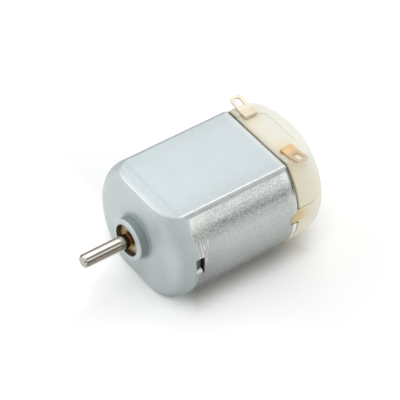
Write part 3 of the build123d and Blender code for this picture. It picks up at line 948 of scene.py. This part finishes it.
def place_camera():
    """Camera that looks at the motor as the photograph does."""
    back = Vector(
        (
            sin(camera_azimuth) * cos(camera_elevation),
            -cos(camera_azimuth) * cos(camera_elevation),
            sin(camera_elevation),
        )
    )
    level = Vector((cos(camera_azimuth), sin(camera_azimuth), 0.0))
    upright = back.cross(level)
    right = level * cos(camera_roll) + upright * sin(camera_roll)
    up = back.cross(right)
    aim = aim_point + right * aim_right + up * aim_up
    data = bpy.data.cameras.new("photo_camera")
    data.sensor_width = sensor_width
    data.lens = sensor_width * focal_length_px / photo_size
    data.clip_start = 1.0 * mm
    camera = bpy.data.objects.new("photo_camera", data)
    camera.location = aim + back * camera_distance
    camera.rotation_euler = Matrix((right, up, back)).transposed().to_euler()
    bpy.context.scene.collection.objects.link(camera)
    bpy.context.scene.camera = camera


def seen_directly(tree):
    """One where the picture or a reflection looks straight at this surface."""
    path = tree.nodes.new("ShaderNodeLightPath").outputs
    return most(tree, path["Is Camera Ray"], path["Is Glossy Ray"], path["Is Transmission Ray"])


def make_table_white():
    """White, with painted shade close to the motor; a little glow lifts the rest to white in the picture, and
    extra painted light beside the front and below the shaft lifts their shadows.
    """
    material, tree, shader, coordinates = new_material("white_table")
    place = split(tree, coordinates)
    x = place["X"]
    y = place["Y"]
    ahead = rise(tree, x, *clear_ahead)
    clear = most(
        tree,
        ahead,
        fall(tree, x, *clear_behind),
        rise(tree, y, *clear_near),
        fall(tree, y, *clear_far),
    )
    tree.links.new(blend(tree, clear, table_shade, table_colour), shader.inputs["Base Color"])
    shader.inputs["Roughness"].default_value = table_roughness
    shader.inputs["Specular IOR Level"].default_value = table_gloss
    # Painted light: extra glow beside the front and below the shaft lifts their shadows.
    beside_front = times(tree, rise(tree, x, *beside_front_x), rise(tree, y, *beside_front_y))
    below_shaft = times(tree, ahead, fall(tree, y, *below_shaft_y))
    glow = maths(tree, "MULTIPLY_ADD", beside_front, table_glow_beside_front, table_glow)
    glow = maths(tree, "MULTIPLY_ADD", below_shaft, table_glow_below_shaft, glow)
    change = maths(tree, "MULTIPLY_ADD", glow, clear, -table_glow)
    in_picture = tree.nodes.new("ShaderNodeLightPath").outputs["Is Camera Ray"]
    change = times(tree, change, in_picture)
    glow = maths(tree, "MULTIPLY_ADD", seen_directly(tree), table_glow, change)
    tree.links.new(glow, shader.inputs["Emission Color"])
    shader.inputs["Emission Strength"].default_value = 1.0
    return material


def lay_table():
    """White table under the can's lower flat."""
    half = table_size / 2
    level = can_low.z
    corners = [(-half, -half, level), (half, -half, level), (half, half, level), (-half, half, level)]
    mesh = bpy.data.meshes.new("table")
    mesh.from_pydata(corners, [], [(0, 1, 2, 3)])
    mesh.materials.append(make_table_white())
    table = bpy.data.objects.new("table", mesh)
    bpy.context.scene.collection.objects.link(table)


def light_sky():
    """White to the camera. The light tent is darker at the horizon and at the gap over its near side."""
    world = bpy.data.worlds.new("light_tent")
    bpy.context.scene.world = world
    world.use_nodes = True
    tree = world.node_tree
    background = tree.nodes["Background"]
    background.inputs["Color"].default_value = (*sky_colour, 1.0)
    direction = split(tree, tree.nodes.new("ShaderNodeTexCoord").outputs["Generated"])
    y = direction["Y"]
    z = direction["Z"]
    gap = times(tree, rise(tree, z, *gap_bottom_z), fall(tree, z, *gap_top_z), rise(tree, y, *gap_near_y))
    tent = times(
        tree,
        ramp(tree, z, *horizon_z, horizon_shade, 1.0),
        maths(tree, "MULTIPLY_ADD", gap, gap_shade - 1.0, 1.0),
    )
    soft = times(
        tree,
        ramp(tree, z, *soft_z, sky_low_strength, sky_strength),
        ramp(tree, y, *soft_near_y, 1.0, sky_near_share),
    )
    seen = seen_directly(tree)
    strength = maths(tree, "MULTIPLY_ADD", rest_of(tree, seen), soft, times(tree, seen, tent))
    in_picture = tree.nodes.new("ShaderNodeLightPath").outputs["Is Camera Ray"]
    tree.links.new(most(tree, strength, in_picture), background.inputs["Strength"])


def hang_lamp(name, direction, distance, size, brightness):
    """Square softbox that faces the motor from one direction."""
    data = bpy.data.lights.new(name, "AREA")
    data.shape = "SQUARE"
    data.size = size
    data.energy = brightness * pi * data.size**2
    lamp = bpy.data.objects.new(name, data)
    towards = Vector(direction).normalized()
    lamp.location = aim_point + towards * distance
    lamp.rotation_euler = (-towards).to_track_quat("-Z", "Y").to_euler()
    bpy.context.scene.collection.objects.link(lamp)
    return lamp


def hang_lamps():
    """Four softboxes round the motor; the overhead lamp and the near fill don't show as reflections."""
    hang_lamp("top_softbox", (-0.33, -0.27, 0.905), distance=330 * mm, size=210 * mm, brightness=1.0)
    above = hang_lamp("overhead_lamp", (0.15, 0.15, 0.98), distance=350 * mm, size=200 * mm, brightness=3.3)
    hang_lamp("far_softbox", (0.50, -0.75, 0.60), distance=360 * mm, size=300 * mm, brightness=0.65)
    fill = hang_lamp("near_fill", (-0.60, 0.70, 0.38), distance=380 * mm, size=260 * mm, brightness=1.75)
    for lamp in (above, fill):
        lamp.visible_glossy = False


wind_coils()
place_camera()
lay_table()
light_sky()
hang_lamps()

bpy.context.scene.view_settings.view_transform = "Standard"
